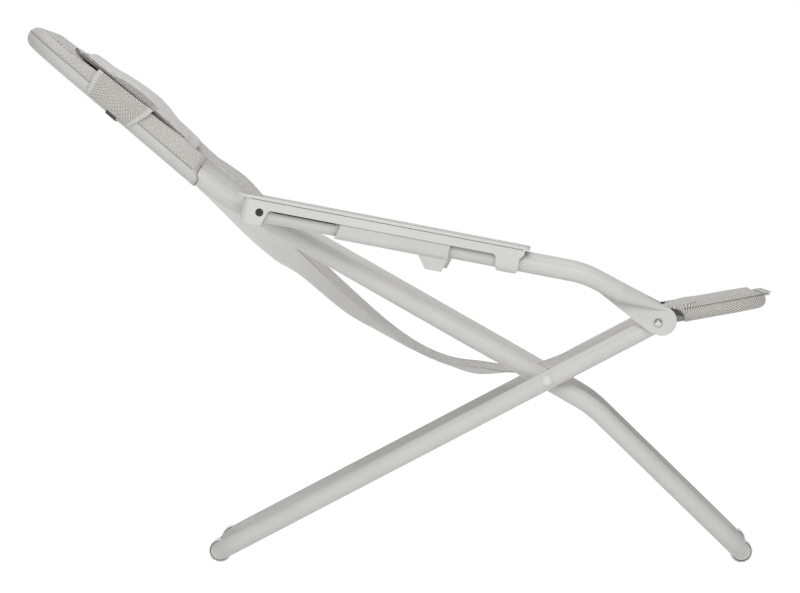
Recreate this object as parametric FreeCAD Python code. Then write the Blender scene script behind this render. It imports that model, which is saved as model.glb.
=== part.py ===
import FreeCAD
import Part
import math
import os

# Folding sun lounger: two crossing tube frames, telescopic armrests and a fabric sling.
# Millimetres. +X points to the foot end, +Y to the sitter's left, +Z up.
# The origin lies on the floor under the middle of the lounger.

V = FreeCAD.Vector

# Tubes and running clearances
tube_radius = 14.0
front_tube_radius = 10.0
tube_wall = 1.5
run_gap = 0.3
pin_clearance = 0.05
spigot_clearance = 0.05
spigot_half_length = 15.0
bush_inset = 6.0
match_tolerance = 0.01

# Side view of the frames: the crossing pivot, then runs and angles from it
pivot_x = 224.2
pivot_z = 275.5
back_angle = 29.47
pivot_to_knee = 78.2
pivot_to_back_bend = 565.1
head_angle = 40.1
head_run = 365.2
back_join_lead = 63.7
front_leg_angle = 44.06
leg_angle = 27.75
pivot_to_link = 188.1
pivot_to_leg_end = 204.0
pivot_to_front_start = 168.0
pivot_to_seat_bend = 207.9
seat_front_angle = 10.3
seat_front_run = 136.5

# Bend radii on the tube axis
back_bend_radius = 300.0
knee_radius = 180.0
seat_bend_radius = 60.0
head_corner_radius = 70.0
front_corner_radius = 50.0
foot_corner_radius = 45.0

# Widths
back_half_width = 245.5
spacer_thickness = 2.0
link_washer_thickness = 2.7
arm_side_room = 18.2

# Foot pads
pad_wall = 3.6
pad_lift = 3.0
pad_length = 44.0
pad_clearance = 0.05
pad_inset = 47.0
pad_open_reach = 6.0
pad_groove_radius = 1.3
pad_groove_angles = (20.0, 66.0)

# Crossing rivets and their spacers
rivet_radius = 5.0
rivet_head_radius = 8.0
rivet_head_height = 4.2
rivet_back_height = 3.0
spacer_radius = 10.0

# Link screws, washers and nuts
screw_radius = 4.0
screw_head_radius = 6.8
screw_head_height = 4.6
recess_length = 8.0
recess_width = 1.8
recess_depth = 2.2
link_washer_radius = 11.0
nut_radius = 7.5
nut_height = 6.0

# Link tubes that slide in the armrests
arm_pivot_run = 497.4
arm_pivot_rise = 7.0
arm_angle = 10.6
link_rear_run = 9.0
link_bend_run = 495.4
link_bend_turn = 17.0
link_bend_radius = 146.0
ear_radius = 22.3
ear_lead = 3.8
ear_thickness = 4.0
ear_neck = 12.0
flatten_length = 120.0
flatten_tip_drop = 8.0
flatten_top_lead = 15.0
taper_length = 70.0
taper_overrun = 4.0
taper_end_radius = 3.5
taper_step = 0.15
slit_run = 46.7
slit_width = 2.4
slit_depth = 14.0
plug_depth = 16.0
plug_flange = 1.5

# Armrests
arm_top = 23.4
cover_thickness = 4.4
arm_half_width = 24.0
arm_wall = 5.0
arm_wall_bottom = 5.0
arm_lift_room = 3.2
cover_half_width = 25.5
cover_rear = 41.0
cover_front = 407.0
cover_rear_round = 22.0
cover_front_round = 12.0
cover_edge_round = 2.0
arm_body_rear = 27.5
arm_body_front = 400.0
arm_rear_round = 12.0
arm_block_inner = 17.0
arm_block_front = 13.0
arm_block_foot = 5.0
arm_block_bottom = 19.5
arm_block_round = 10.0
arm_socket_floor = 5.0
arm_window_round = 6.0
arm_boss_radius = 13.0
ring_inset = 5.8
ring_length = 36.2
ring_lean = 3.4
ring_end_round = 5.0
ring_wall = 4.2
ring_clearance = 0.35
ring_round = 15.0
nose_radius = 18.0
nose_drop = 2.0
bolt_head_radius = 5.8
bolt_head_height = 5.0
bolt_recess_radius = 6.1
bolt_recess_depth = 9.0
bolt_socket_radius = 2.6
bolt_socket_depth = 3.0

# Release levers under the armrests
lever_half_width = 21.5
lever_depth = 17.8
lever_corner = 10.0
lever_inner_corner = 6.5
lever_wall = 2.0
lever_start = 116.5
lever_slant = 7.0
lever_end = 289.0
lever_pin_run = 125.5
lever_pin_rise = 11.5
lever_pin_radius = 2.5
lever_pin_seat = 3.0
lever_pin_tip = 0.2
lever_ear_radius = 4.5
lever_ear_inner = 16.0
lever_ear_thickness = 2.6
lever_swing_room = 1.2
paddle_half_width = 15.0
paddle_rear = 242.5
paddle_foot_rear = 258.2
paddle_foot_front = 282.4
paddle_depth = 36.6

# Fabric sling with its two pockets
fabric_gap = 0.3
pocket_wall = 2.2
front_pocket_wall = 1.7
head_pocket_run = 321.5
front_pocket_lead = 10.0
front_panel_lead = 6.0
panel_thickness = 1.3
panel_below_top = 0.2
seam_lip_length = 10.3
seam_lip_thickness = 3.0
sling_thickness = 2.0
sling_start_gap = 7.5
sling_edge_gap = 9.5
sling_front_gap = 17.8

# The free sling, from the head pocket to the front pocket. Each station has its share of the
# straight line between the pockets, the drop of the hem below that line, the sag of the
# middle below the hem, and how far the hem has spread to the wider seat frame.
sling_stations = [
    (0.065, 4.0, 42.0, 0.22),
    (0.147, 41.8, 48.0, 0.0),
    (0.212, 70.0, 43.0, 0.0),
    (0.363, 120.4, 37.0, 0.0),
    (0.442, 145.9, 20.0, 0.0),
    (0.518, 163.5, 12.0, 0.0),
    (0.591, 174.2, 8.0, 0.0),
    (0.661, 176.9, 3.0, 0.0),
    (0.741, 162.8, -6.0, 0.0),
    (0.813, 129.5, -12.0, 0.1),
    (0.872, 88.2, -8.0, 0.44),
    (0.946, 32.2, -3.0, 0.78),
]
sling_start_sag = 18.0
sling_end_sag = 1.0

# Headrest on the head pocket: wraps round the tubes, a pillow and a strap behind
wrap_wall = 1.8
wrap_start = 104.5
wrap_length = 97.0
wrap_slot = 1.5
pillow_side = 4.0
pillow_edge_height = 1.5
# Each pillow rib has its run from the head bar, its crown height and its drawn-in side.
pillow_ribs = [
    (55.5, 19.5, 16.0),
    (67.5, 22.5, 12.0),
    (106.5, 35.0, 4.0),
    (147.5, 46.0, 0.0),
    (186.5, 48.5, 2.0),
    (221.5, 42.5, 4.0),
    (256.5, 33.5, 8.0),
    (273.5, 24.0, 16.0),
]
strap_half_width = 12.5
strap_thickness = 1.6
strap_run = 159.5
buckle_length = 46.0
buckle_half_width = 17.0
buckle_thickness = 6.0

# Sizes that follow from the ones above
tube_bore = tube_radius - tube_wall
floor_bar_height = tube_radius + pad_lift
front_bore = front_tube_radius - tube_wall
seat_half_width = back_half_width + 2 * tube_radius + spacer_thickness + run_gap
arm_half_centre = seat_half_width + tube_radius + arm_side_room
ear_inner = seat_half_width + tube_radius + link_washer_thickness + run_gap
pocket_inner = tube_radius + fabric_gap
pocket_outer = pocket_inner + pocket_wall
front_pocket_inner = front_tube_radius + fabric_gap
front_pocket_outer = front_pocket_inner + front_pocket_wall
wrap_inner = pocket_outer + fabric_gap
wrap_outer = wrap_inner + wrap_wall


def polar(angle):
    turn = math.radians(angle)
    return V(math.cos(turn), 0, math.sin(turn))


def across(direction):
    return V(-direction.z, 0, direction.x)


def shifted(point, y):
    return V(point.x, y, point.z)


def local(origin, along, w, y, n):
    up = across(along)
    return origin + along * w + up * n + V(0, y, 0)


def bent_wire(points, radii):
    edges = []
    current = points[0]
    for i in range(1, len(points) - 1):
        corner = points[i]
        before = (corner - points[i - 1]).normalize()
        after = (points[i + 1] - corner).normalize()
        half_turn = before.getAngle(after) / 2
        radius = radii[i - 1]
        reach = radius * math.tan(half_turn)
        first = corner - before * reach
        last = corner + after * reach
        inward = (after - before).normalize()
        middle = corner + inward * (radius / math.cos(half_turn) - radius)
        edges.append(Part.LineSegment(current, first).toShape())
        edges.append(Part.Arc(first, middle, last).toShape())
        current = last
    edges.append(Part.LineSegment(current, points[-1]).toShape())
    return Part.Wire(edges)


def rod_along(points, radii, radius):
    wire = bent_wire(points, radii)
    ring = Part.Wire(Part.makeCircle(radius, points[0], points[1] - points[0]))
    return wire.makePipeShell([ring], True, False)


def tube_along(points, radii, outer, inner):
    return rod_along(points, radii, outer).cut(rod_along(points, radii, inner))


def u_points(side_points):
    near = [shifted(p, -p.y) for p in reversed(side_points)]
    return list(side_points) + near


def u_radii(side_radii):
    return list(side_radii) + list(reversed(side_radii))


def y_rod(centre, y_start, y_end, radius):
    return Part.makeCylinder(radius, y_end - y_start, shifted(centre, y_start), V(0, 1, 0))


def y_ring(centre, y_start, y_end, outer, inner):
    return y_rod(centre, y_start, y_end, outer).cut(y_rod(centre, y_start, y_end, inner))


def dome(centre, y_face, radius, height):
    ball_radius = (radius * radius + height * height) / (2 * height)
    ball = Part.makeSphere(ball_radius, shifted(centre, y_face + height - ball_radius))
    return ball.common(y_rod(centre, y_face, y_face + 2 * height, radius))


def flat_face(points):
    return Part.Face(Part.makePolygon(points + [points[0]]))


def mirrored(shape):
    return shape.mirror(V(0, 0, 0), V(0, 1, 0))


def save(name, shape):
    solid = shape.removeSplitter()
    solids = solid.Solids
    print(name, "solids", len(solids), "valid", solid.isValid(), "volume", round(solid.Volume, 1))
    if len(solids) == 1:
        solid = solids[0]
    solid.exportStep("parts/" + name + ".step")


def save_pair(name, shape):
    save(name + "_left", shape)
    save(name + "_right", mirrored(shape))


os.makedirs("parts", exist_ok=True)

# Frame points in the side view
pivot = V(pivot_x, 0, pivot_z)
back_up = polar(180 - back_angle)
head_up = polar(180 - head_angle)
head_down = head_up * -1
leg_up = polar(leg_angle)
front_out = polar(seat_front_angle)
knee = pivot - back_up * pivot_to_knee
back_bend = pivot + back_up * pivot_to_back_bend
head_bar = back_bend + head_up * head_run
front_leg_down = polar(-front_leg_angle)
front_foot = knee + front_leg_down * ((floor_bar_height - knee.z) / front_leg_down.z)
rear_foot = pivot - leg_up * ((pivot_z - floor_bar_height) / leg_up.z)
link_pivot = pivot + leg_up * pivot_to_link
seat_bend = pivot + leg_up * pivot_to_seat_bend
front_bar = seat_bend + front_out * seat_front_run
leg_end = pivot + leg_up * pivot_to_leg_end
front_start = pivot + leg_up * pivot_to_front_start
back_join = back_bend + head_up * back_join_lead
arm_pivot = pivot + back_up * arm_pivot_run + across(back_up) * -arm_pivot_rise
arm_out = polar(-arm_angle)

# Back frame tubes
head_side = [shifted(back_join, back_half_width), shifted(head_bar, back_half_width)]
head_tube = tube_along(u_points(head_side), u_radii([head_corner_radius]), tube_radius, tube_bore)
save("head_tube", head_tube)

back_side = [shifted(p, back_half_width) for p in (back_join, back_bend, knee, front_foot)]
back_radii = u_radii([back_bend_radius, knee_radius, foot_corner_radius])
back_leg_tube = tube_along(u_points(back_side), back_radii, tube_radius, tube_bore)
for side in (1, -1):
    middle = side * back_half_width
    rivet_hole = y_rod(pivot, middle - 2 * tube_radius, middle + 2 * tube_radius, rivet_radius)
    bolt_hole = y_rod(arm_pivot, middle - 2 * tube_radius, middle + 2 * tube_radius, screw_radius)
    back_leg_tube = back_leg_tube.cut(rivet_hole).cut(bolt_hole)
save("back_leg_tube", back_leg_tube)

# Seat frame tubes: the thinner front tube is plugged into the leg tube
front_side = [shifted(p, seat_half_width) for p in (front_start, seat_bend, front_bar)]
front_radii = u_radii([seat_bend_radius, front_corner_radius])
front_tube = tube_along(u_points(front_side), front_radii, front_tube_radius, front_bore)
leg_side = [shifted(p, seat_half_width) for p in (leg_end, rear_foot)]
rear_leg_tube = tube_along(u_points(leg_side), u_radii([foot_corner_radius]), tube_radius, tube_bore)
for side in (1, -1):
    middle = side * seat_half_width
    running_radius = rivet_radius + pin_clearance
    rivet_hole = y_rod(pivot, middle - 2 * tube_radius, middle + 2 * tube_radius, running_radius)
    screw_hole = y_rod(link_pivot, middle - 2 * tube_radius, middle + 2 * tube_radius, screw_radius)
    rear_leg_tube = rear_leg_tube.cut(rivet_hole).cut(screw_hole)
    front_tube = front_tube.cut(screw_hole)
save("front_tube", front_tube)
save("rear_leg_tube", rear_leg_tube)

# Spigots inside the back tube joints, and bushes round the plugged ends of the front tube
spigot_start = shifted(back_join - head_down * spigot_half_length, back_half_width)
spigot_radius = tube_bore - spigot_clearance
spigot = Part.makeCylinder(spigot_radius, 2 * spigot_half_length, spigot_start, head_down)
spigot_bore = spigot_radius - tube_wall
spigot = spigot.cut(Part.makeCylinder(spigot_bore, 2 * spigot_half_length, spigot_start, head_down))
save_pair("back_spigot", spigot)
bush_start = shifted(front_start, seat_half_width)
bush_length = pivot_to_leg_end - pivot_to_front_start - bush_inset
bush_bore = front_tube_radius + spigot_clearance
bush = Part.makeCylinder(spigot_radius, bush_length, bush_start, leg_up)
bush = bush.cut(Part.makeCylinder(bush_bore, bush_length, bush_start, leg_up))
bush_hole_start = seat_half_width - 2 * tube_radius
bush = bush.cut(y_rod(link_pivot, bush_hole_start, seat_half_width + 2 * tube_radius, screw_radius))
save_pair("seat_bush", bush)


# Foot pads clipped on the floor bars, open towards the leg, grooved outside and cut flat
# where they stand on the floor
def foot_pad(centre, leg_way, outward, half_width):
    outer = tube_radius + pad_wall
    y_end = half_width - pad_inset
    y_start = y_end - pad_length
    ring = y_ring(centre, y_start, y_end, outer, tube_radius + pad_clearance)
    opening = []
    reach = pad_open_reach
    for w, n in ((reach, -outer), (2 * outer, -outer), (2 * outer, outer), (reach, outer)):
        opening.append(local(centre, leg_way, w, y_start, n))
    ring = ring.cut(flat_face(opening).extrude(V(0, pad_length, 0)))
    for angle in pad_groove_angles:
        turn = polar(-angle)
        groove = centre + V(outward * turn.x, 0, turn.z) * outer
        ring = ring.cut(y_rod(groove, y_start, y_end, pad_groove_radius))
    under = V(centre.x - outer, y_start, -outer)
    return ring.cut(Part.makeBox(2 * outer, pad_length, outer, under))


save_pair("front_foot_pad", foot_pad(front_foot, front_leg_down * -1, 1, back_half_width))
save_pair("rear_foot_pad", foot_pad(rear_foot, leg_up, -1, seat_half_width))

# Crossing rivets with a spacer between the frames
back_outer = back_half_width + tube_radius
back_inner = back_half_width - tube_radius
seat_outer = seat_half_width + tube_radius
seat_inner = seat_half_width - tube_radius
rivet = y_rod(pivot, back_inner, seat_outer + run_gap, rivet_radius)
rivet = rivet.fuse(dome(pivot, seat_outer + run_gap, rivet_head_radius, rivet_head_height))
rivet = rivet.fuse(y_rod(pivot, back_inner - rivet_back_height, back_inner, rivet_head_radius))
save_pair("crossing_rivet", rivet)
spacer_end = back_outer + spacer_thickness
spacer = y_ring(pivot, back_outer, spacer_end, spacer_radius, rivet_radius + pin_clearance)
save_pair("crossing_spacer", spacer)


def hex_nut(centre, y_start, y_end, bore):
    corners = []
    for i in range(6):
        turn = polar(60 * i)
        corners.append(shifted(centre + turn * nut_radius, y_start))
    body = flat_face(corners).extrude(V(0, y_end - y_start, 0))
    return body.cut(y_rod(centre, y_start, y_end, bore))


# Link screws through the seat frame, with washer and nut
ear_outer = ear_inner + ear_thickness
head_face = ear_outer + run_gap
screw = y_rod(link_pivot, seat_inner - nut_height, head_face, screw_radius)
screw = screw.fuse(dome(link_pivot, head_face, screw_head_radius, screw_head_height))
recess_floor = head_face + screw_head_height - recess_depth
for length, width in ((recess_length, recess_width), (recess_width, recess_length)):
    corner = V(link_pivot.x - length / 2, recess_floor, link_pivot.z - width / 2)
    screw = screw.cut(Part.makeBox(length, screw_head_height, width, corner))
save_pair("link_screw", screw)
washer_end = seat_outer + link_washer_thickness
washer = y_ring(link_pivot, seat_outer, washer_end, link_washer_radius, screw_radius + pin_clearance)
save_pair("link_washer", washer)
save_pair("link_nut", hex_nut(link_pivot, seat_inner - nut_height, seat_inner, screw_radius))

# Link tubes: straight in the armrest, bent down to an ear on the seat frame. The ear is
# pressed flat, and the round of the tube tapers out along its upper edge.
link_rear = arm_pivot + arm_out * link_rear_run
link_bend = arm_pivot + arm_out * link_bend_run
link_down = polar(-arm_angle - link_bend_turn)
ear_run = (link_pivot - link_bend).dot(link_down)
neck_run = ear_run - ear_neck
round_run = ear_run - taper_length
round_end = link_bend + link_down * round_run
link_points = [shifted(p, arm_half_centre) for p in (link_rear, link_bend, round_end)]
link_tube = tube_along(link_points, [link_bend_radius], tube_radius, tube_bore)


def link_spot(run, y, n):
    return local(link_bend, link_down, run, y, n)


taper_end = link_spot(ear_run + taper_overrun, ear_outer - taper_end_radius, tube_radius - taper_end_radius)
taper_rings = []
for radius, centre in ((tube_radius - taper_step, link_points[-1]), (taper_end_radius, taper_end)):
    taper_rings.append(Part.Wire(Part.makeCircle(radius, centre, link_down)))
taper = Part.makeLoft(taper_rings, True, True)
under_ear = V(link_pivot.x - 2 * taper_length, ear_inner - tube_radius, link_pivot.z - taper_length)
taper = taper.cut(Part.makeBox(3 * taper_length, tube_radius, 3 * taper_length, under_ear))
ear_drop = tube_radius - ear_radius
ear_end_run = ear_run + ear_lead
ear_foot = ear_drop - ear_radius
ear_outline = (
    (neck_run - flatten_length, -flatten_tip_drop),
    (neck_run, ear_foot),
    (ear_end_run, ear_foot),
    (ear_end_run, tube_radius),
    (ear_run - flatten_top_lead, tube_radius),
)
ear_corners = [link_spot(run, ear_inner, n) for run, n in ear_outline]
ear = flat_face(ear_corners).extrude(V(0, ear_thickness, 0))
ear_centre = link_spot(ear_end_run, 0, ear_drop)
ear = ear.fuse(y_rod(ear_centre, ear_inner, ear_outer, ear_radius))
link_tube = link_tube.fuse(taper).fuse(ear)
link_tube = link_tube.cut(y_rod(link_pivot, ear_inner, ear_outer, screw_radius + pin_clearance))
slit = Part.makeBox(slit_width, 2 * tube_radius, slit_depth)
slit.translate(V(slit_run - slit_width / 2, -tube_radius, tube_radius - slit_depth))


def in_arm(shape):
    turned = shape.copy()
    turned.rotate(V(0, 0, 0), V(0, 1, 0), arm_angle)
    turned.translate(shifted(arm_pivot, arm_half_centre))
    return turned


link_tube = link_tube.cut(in_arm(slit))
save_pair("link_tube", link_tube)
plug_radius = tube_bore - spigot_clearance
plug = Part.makeCylinder(plug_radius, plug_depth, V(link_rear_run, 0, 0), V(1, 0, 0))
flange_start = V(link_rear_run - plug_flange, 0, 0)
plug = plug.fuse(Part.makeCylinder(tube_radius, plug_flange, flange_start, V(1, 0, 0)))
save_pair("link_plug", in_arm(plug))


# A bar along an armrest with its two lower long edges rounded
def rounded_bar(start, length, half_width, depth, top, corner):
    bar = Part.makeBox(length, 2 * half_width, depth + top, V(start, -half_width, -depth))
    lower = []
    for edge in bar.Edges:
        lengthwise = abs(edge.BoundBox.XLength - length) < match_tolerance
        if lengthwise and abs(edge.CenterOfMass.z + depth) < match_tolerance:
            lower.append(edge)
    return bar.makeFillet(corner, lower)


# The upright edges of a box at one end of its length
def end_uprights(box, end):
    found = []
    for edge in box.Edges:
        at_end = abs(edge.CenterOfMass.x - end) < match_tolerance
        if at_end and edge.BoundBox.YLength < match_tolerance:
            found.append(edge)
    return found


# The piece between a corner and the round that is tangent to its two edges
def corner_piece(corner, first_way, last_way, radius, width):
    half_angle = first_way.getAngle(last_way) / 2
    reach = radius / math.tan(half_angle)
    inward = (first_way + last_way).normalize()
    first = corner + first_way * reach
    last = corner + last_way * reach
    middle = corner + inward * (radius / math.sin(half_angle) - radius)
    edges = [
        Part.LineSegment(corner, first).toShape(),
        Part.Arc(first, middle, last).toShape(),
        Part.LineSegment(last, corner).toShape(),
    ]
    return Part.Face(Part.Wire(edges)).extrude(V(0, width, 0))


# Armrest body: a channel over the link tube, a pivot block and a guide ring
body_top = arm_top - cover_thickness
ceiling = tube_radius + arm_lift_room
body_length = arm_body_rear + arm_body_front
top_corner = V(-arm_body_rear, -arm_half_width, ceiling)
arm_body = Part.makeBox(body_length, 2 * arm_half_width, body_top - ceiling, top_corner)
for y in (-arm_half_width, arm_half_width - arm_wall):
    wall_corner = V(-arm_body_rear, y, arm_wall_bottom)
    arm_body = arm_body.fuse(Part.makeBox(body_length, arm_wall, ceiling - arm_wall_bottom, wall_corner))
block_outline = [
    V(-arm_body_rear, -arm_block_inner, ceiling),
    V(arm_block_front, -arm_block_inner, ceiling),
    V(arm_block_front, -arm_block_inner, arm_wall_bottom),
    V(arm_block_foot, -arm_block_inner, -arm_block_bottom),
    V(-arm_body_rear, -arm_block_inner, -arm_block_bottom),
]
block = flat_face(block_outline).extrude(V(0, arm_half_width + arm_block_inner, 0))
round_edges = []
for edge in block.Edges:
    middle = edge.CenterOfMass
    at_rear = abs(middle.x + arm_body_rear) < match_tolerance
    if at_rear and abs(middle.z + arm_block_bottom) < match_tolerance:
        round_edges.append(edge)
block = block.makeFillet(arm_block_round, round_edges)
plan_corner = V(-arm_body_rear, -arm_half_width, -arm_block_bottom)
plan = Part.makeBox(body_length, 2 * arm_half_width, arm_block_bottom + body_top, plan_corner)
plan = plan.makeFillet(arm_rear_round, end_uprights(plan, -arm_body_rear))
arm_body = arm_body.fuse(block).common(plan)
wall_inner = arm_half_width - arm_wall
forward = V(1, 0, 0)
window_rear = V(arm_block_front, wall_inner, arm_wall_bottom)
block_way = V(arm_block_foot - arm_block_front, 0, -arm_block_bottom - arm_wall_bottom).normalize()
arm_body = arm_body.fuse(corner_piece(window_rear, forward, block_way, arm_window_round, arm_wall))
boss_end = back_outer + run_gap - arm_half_centre
boss_length = -arm_block_inner - boss_end
boss = Part.makeCylinder(arm_boss_radius, boss_length, V(0, boss_end, 0), V(0, 1, 0))
arm_body = arm_body.fuse(boss)
ring_start = arm_body_front - ring_inset - ring_length
ring_bore = tube_radius + ring_clearance
ring_depth = ring_bore + ring_wall
ring = rounded_bar(ring_start, ring_length, arm_half_width, ring_depth, ceiling, ring_round)
ring_end = ring_start + ring_length
lean_top = V(ring_start, -arm_half_width, arm_wall_bottom)
lean_foot = V(ring_start + ring_lean, -arm_half_width, -ring_depth)
lean_wedge = flat_face([lean_top, lean_foot, V(ring_start, -arm_half_width, -ring_depth)])
ring = ring.cut(lean_wedge.extrude(V(0, 2 * arm_half_width, 0)))
lean_way = (lean_top - lean_foot).normalize()
ring = ring.cut(corner_piece(lean_foot, forward, lean_way, ring_end_round, 2 * arm_half_width))
ring_toe = V(ring_end, -arm_half_width, -ring_depth)
ring = ring.cut(corner_piece(ring_toe, forward * -1, V(0, 0, 1), ring_end_round, 2 * arm_half_width))
arm_body = arm_body.fuse(ring)
window_front = V(ring_start, wall_inner, arm_wall_bottom)
ring_piece = corner_piece(window_front, forward * -1, lean_way * -1, arm_window_round, arm_wall)
arm_body = arm_body.fuse(ring_piece)
nose_centre = V(ring_end + nose_radius, 0, -nose_drop)
arm_body = arm_body.cut(y_rod(nose_centre, -arm_half_width, arm_half_width, nose_radius))
for slot_start, slot_length in (
    (arm_socket_floor, arm_block_front - arm_socket_floor),
    (ring_start - ring_length, 3 * ring_length),
):
    tunnel = Part.makeCylinder(ring_bore, slot_length, V(slot_start, 0, 0), forward)
    slot_corner = V(slot_start, -ring_bore, 0)
    tunnel = tunnel.fuse(Part.makeBox(slot_length, 2 * ring_bore, ceiling, slot_corner))
    arm_body = arm_body.cut(tunnel)
bolt_bore = screw_radius + pin_clearance
bore_length = arm_half_width - boss_end
arm_body = arm_body.cut(Part.makeCylinder(bolt_bore, bore_length, V(0, boss_end, 0), V(0, 1, 0)))
recess_start = arm_half_width - bolt_recess_depth
recess = Part.makeCylinder(bolt_recess_radius, bolt_recess_depth, V(0, recess_start, 0), V(0, 1, 0))
arm_body = arm_body.cut(recess)
pin_foot = wall_inner + lever_pin_seat
pin_axis = V(lever_pin_run, 0, lever_pin_rise)
pin_seat = y_rod(pin_axis, -pin_foot, pin_foot, lever_pin_radius)
arm_body = arm_body.cut(pin_seat)
save_pair("armrest_body", in_arm(arm_body))

# Armrest cover with rounded ends and a soft top edge
cover_length = cover_rear + cover_front
cover = Part.makeBox(cover_length, 2 * cover_half_width, cover_thickness)
cover.translate(V(-cover_rear, -cover_half_width, body_top))
cover = cover.makeFillet(cover_rear_round, end_uprights(cover, -cover_rear))
cover = cover.makeFillet(cover_front_round, end_uprights(cover, cover_front))
top_edges = [edge for edge in cover.Edges if abs(edge.BoundBox.ZMin - arm_top) < match_tolerance]
cover = cover.makeFillet(cover_edge_round, top_edges)
save_pair("armrest_cover", in_arm(cover))

# Armrest bolts on the back frame, with nuts
bolt_end = arm_half_centre + recess_start + run_gap
bolt = y_rod(arm_pivot, back_inner - nut_height, bolt_end, screw_radius)
bolt_top = bolt_end + bolt_head_height
bolt = bolt.fuse(y_rod(arm_pivot, bolt_end, bolt_top, bolt_head_radius))
bolt = bolt.cut(y_rod(arm_pivot, bolt_top - bolt_socket_depth, bolt_top, bolt_socket_radius))
save_pair("armrest_bolt", bolt)
save_pair("armrest_nut", hex_nut(arm_pivot, back_inner - nut_height, back_inner, screw_radius))

# Release levers: a trough round the link tube with a finger paddle, hung on two pins
lever_length = lever_end - lever_start
lever_top = arm_wall_bottom - run_gap
lever = rounded_bar(lever_start, lever_length, lever_half_width, lever_depth, lever_top, lever_corner)
rear_wedge = flat_face([
    V(lever_start, -lever_half_width, lever_top),
    V(lever_start + lever_slant, -lever_half_width, lever_top),
    V(lever_start, -lever_half_width, -lever_depth),
])
lever = lever.cut(rear_wedge.extrude(V(0, 2 * lever_half_width, 0)))
trough_depth = lever_depth - lever_wall
paddle_outline = [
    V(paddle_rear, -paddle_half_width, 0),
    V(paddle_rear, -paddle_half_width, -trough_depth),
    V(paddle_foot_rear, -paddle_half_width, -paddle_depth),
    V(paddle_foot_front, -paddle_half_width, -paddle_depth),
    V(lever_end, -paddle_half_width, -trough_depth),
    V(lever_end, -paddle_half_width, 0),
]
lever = lever.fuse(flat_face(paddle_outline).extrude(V(0, 2 * paddle_half_width, 0)))
cavity_start = lever_start - lever_length
cavity_half = lever_half_width - lever_wall
cavity_length = 3 * lever_length
cavity_top = lever_depth
cavity = rounded_bar(cavity_start, cavity_length, cavity_half, trough_depth, cavity_top, lever_inner_corner)
lever = lever.cut(cavity)
lever_ear_outer = lever_ear_inner + lever_ear_thickness
ear_foot_width = lever_half_width - lever_ear_inner
ear_foot_height = lever_top - lever_swing_room
for side in (1, -1):
    y_low = min(side * lever_ear_inner, side * lever_ear_outer)
    ear_base = V(lever_pin_run - lever_ear_radius, y_low, 0)
    lever_ear = Part.makeBox(2 * lever_ear_radius, lever_ear_thickness, lever_pin_rise, ear_base)
    lever_ear = lever_ear.fuse(y_rod(pin_axis, y_low, y_low + lever_ear_thickness, lever_ear_radius))
    y_foot = min(side * lever_ear_inner, side * lever_half_width)
    ear_foot = V(lever_pin_run - lever_ear_radius, y_foot, 0)
    lever = lever.fuse(Part.makeBox(2 * lever_ear_radius, ear_foot_width, ear_foot_height, ear_foot))
    lever = lever.fuse(lever_ear)
lever = lever.cut(y_rod(pin_axis, -lever_half_width, lever_half_width, lever_pin_radius + pin_clearance))
save_pair("release_lever", in_arm(lever))
pin_tip = lever_ear_inner - lever_pin_tip
save_pair("lever_pin_outer", in_arm(y_rod(pin_axis, pin_tip, pin_foot, lever_pin_radius)))
save_pair("lever_pin_inner", in_arm(y_rod(pin_axis, -pin_foot, -pin_tip, lever_pin_radius)))


# Fabric pockets: a sleeve sewn round a bent tube, with a panel over the top of its sides
def panel(start, along, length, side, corner_radius, top):
    r = corner_radius
    k = r * (1 - math.sqrt(0.5))

    def spot(w, y):
        return local(start, along, w, y, top)

    edges = [
        Part.LineSegment(spot(0, -side), spot(length - r, -side)).toShape(),
        Part.Arc(spot(length - r, -side), spot(length - k, -side + k), spot(length, -side + r)).toShape(),
        Part.LineSegment(spot(length, -side + r), spot(length, side - r)).toShape(),
        Part.Arc(spot(length, side - r), spot(length - k, side - k), spot(length - r, side)).toShape(),
        Part.LineSegment(spot(length - r, side), spot(0, side)).toShape(),
        Part.LineSegment(spot(0, side), spot(0, -side)).toShape(),
    ]
    sink = across(along) * (-panel_thickness if top > 0 else panel_thickness)
    return Part.Face(Part.Wire(edges)).extrude(sink)


pocket_end = head_bar + head_down * head_pocket_run
pocket_side = [shifted(pocket_end, back_half_width), shifted(head_bar, back_half_width)]
back_sling = tube_along(u_points(pocket_side), u_radii([head_corner_radius]), pocket_outer, pocket_inner)
head_top = panel_below_top - pocket_outer
back_panel = panel(pocket_end, head_up, head_pocket_run, back_half_width, head_corner_radius, head_top)
save("back_sling", back_sling.fuse(back_panel))

pocket_start = seat_bend + front_out * front_pocket_lead
sleeve_side = [shifted(pocket_start, seat_half_width), shifted(front_bar, seat_half_width)]
sleeve_points = u_points(sleeve_side)
sleeve_radii = u_radii([front_corner_radius])
front_pocket = tube_along(sleeve_points, sleeve_radii, front_pocket_outer, front_pocket_inner)
panel_start = seat_bend + front_out * front_panel_lead
panel_run = seat_front_run - front_panel_lead
front_top = front_pocket_outer - panel_below_top
front_panel = panel(panel_start, front_out, panel_run, seat_half_width, front_corner_radius, front_top)
lip_half = seat_half_width - front_corner_radius
lip_start = front_pocket_outer - front_pocket_wall / 2
lip_end = lip_start + seam_lip_length
lip_points = []
for w, n in ((lip_start, 0), (lip_end, 0), (lip_end, seam_lip_thickness), (lip_start, seam_lip_thickness)):
    lip_points.append(local(front_bar, front_out, w, -lip_half, n))
seam_lip = flat_face(lip_points).extrude(V(0, 2 * lip_half, 0))
front_pocket = front_pocket.fuse(front_panel).fuse(seam_lip)
save("front_pocket", front_pocket)

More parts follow.
